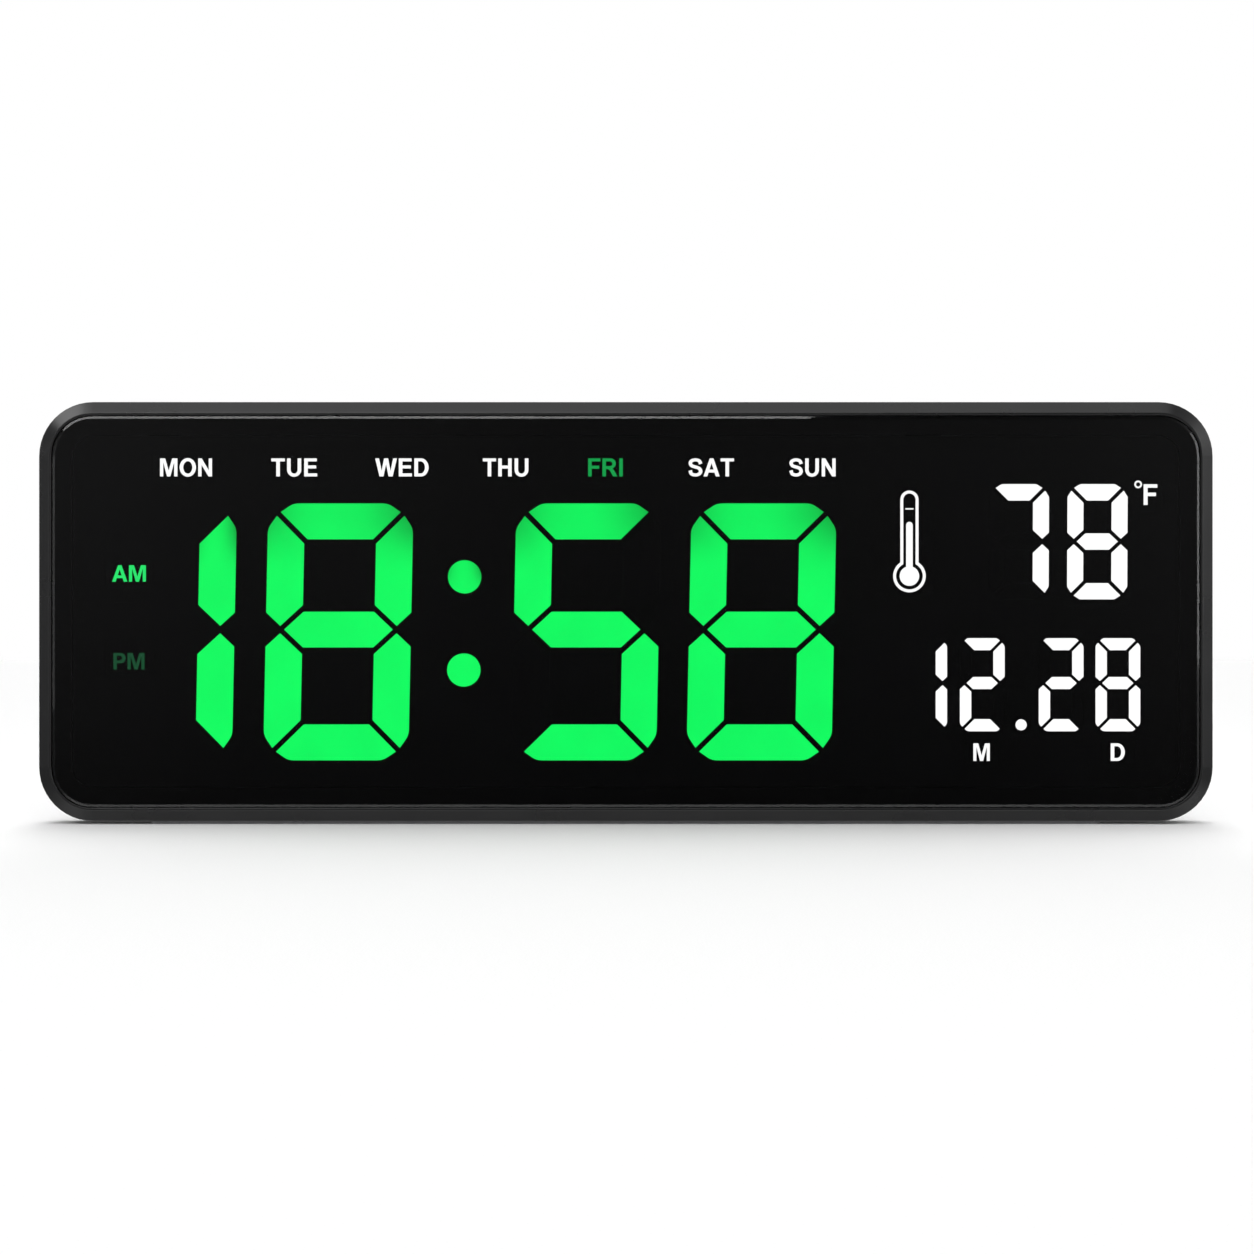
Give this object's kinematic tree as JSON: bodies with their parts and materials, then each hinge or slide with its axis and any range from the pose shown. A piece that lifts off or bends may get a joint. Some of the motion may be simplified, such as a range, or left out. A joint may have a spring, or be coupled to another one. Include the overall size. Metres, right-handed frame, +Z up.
{
  "type": "digital led clock",
  "caption": "Wide black desk and wall clock with lit bar digits for time, temperature and date behind a smoked lens, rear push buttons and a fold-out stand leg.",
  "frame": {"origin": "middle of the underside of the base strip, on the surface that the clock stands on", "axes": "+X to the right seen from the front, +Y from the front face to the back, +Z up"},
  "size_m": [0.42, 0.0873, 0.151],
  "materials": {
    "case_plastic": "satin moulded",
    "lens_acrylic": "polished smoked sheet",
    "tape_black": "matt adhesive film",
    "mask_plastic": "matt moulded",
    "bar_green": "lit milky diffuser",
    "bar_white": "lit milky diffuser",
    "bar_dark": "unlit tinted diffuser",
    "film_black": "printed film",
    "led_package": "moulded package",
    "board_laminate": "solder resist",
    "screw_steel": "zinc plated",
    "chip_epoxy": "moulded epoxy",
    "can_steel": "drawn can",
    "capacitor_sleeve": "shrink sleeve",
    "sensor_bead": "dipped epoxy",
    "moulded_black": "moulded",
    "contact_brass": "stamped strip",
    "foot_rubber": "matt",
    "button_plastic": "satin moulded"
  },
  "bodies": {
    "case": {"front_frame": "case_plastic", "front_lens": "lens_acrylic", "lens_tape": "tape_black", "display_mask": "mask_plastic", "hour_tens_bars": "bar_green", "hour_units_bars": "bar_green", "colon_dots": "bar_green", "minute_tens_bars": "bar_green", "minute_units_bars": "bar_green", "temperature_tens_bars": "bar_white", "temperature_units_bars": "bar_white", "month_tens_bars": "bar_white", "month_units_bars": "bar_white", "date_point": "bar_white", "day_tens_bars": "bar_white", "day_units_bars": "bar_white", "unlit_bars": "bar_dark", "weekday_films": "film_black", "indicator_films": "film_black", "green_leds": "led_package", "white_leds": "led_package", "display_board": "board_laminate", "mask_screws": "screw_steel", "board_screws": "screw_steel", "controller_chip": "chip_epoxy", "driver_chips": "chip_epoxy", "timing_crystal": "can_steel", "supply_capacitor": "capacitor_sleeve", "temperature_sensor": "sensor_bead", "power_jack": "moulded_black", "power_jack_pin": "contact_brass", "switch_bodies": "moulded_black", "cell_holder": "moulded_black", "cell_base_contact": "contact_brass", "cell_clip": "contact_brass", "coin_cell": "can_steel", "rear_cover": "case_plastic", "rear_screws": "screw_steel", "base_strip": "foot_rubber", "stand_pin": "screw_steel"},
    "stand": {"stand_leg": "case_plastic", "stand_pad": "foot_rubber"},
    "set_key": {"set_button": "button_plastic", "set_plunger": "moulded_black"},
    "mode_key": {"mode_button": "button_plastic", "mode_plunger": "moulded_black"},
    "up_key": {"up_button": "button_plastic", "up_plunger": "moulded_black"},
    "down_key": {"down_button": "button_plastic", "down_plunger": "moulded_black"},
    "door": {"cell_door": "case_plastic"}
  },
  "joints": [
    {"name": "stand_fold", "type": "hinge", "parent": "case", "child": "stand", "pos_m": [0, 0.0078, 0.014], "axis": [1, 0, 0], "range_deg": [0, 98]},
    {"name": "set_press", "type": "slide", "parent": "case", "child": "set_key", "axis": [0, -1, 0], "range_m": [0, 0.0004], "stiffness_N_per_m": 4000},
    {"name": "mode_press", "type": "slide", "parent": "case", "child": "mode_key", "axis": [0, -1, 0], "range_m": [0, 0.0004], "stiffness_N_per_m": 4000},
    {"name": "up_press", "type": "slide", "parent": "case", "child": "up_key", "axis": [0, -1, 0], "range_m": [0, 0.0004], "stiffness_N_per_m": 4000},
    {"name": "down_press", "type": "slide", "parent": "case", "child": "down_key", "axis": [0, -1, 0], "range_m": [0, 0.0004], "stiffness_N_per_m": 4000},
    {"name": "door_turn", "type": "hinge", "parent": "case", "child": "door", "pos_m": [0.15, 0, 0.064], "axis": [0, 1, 0], "range_deg": [0, 60]}
  ]
}
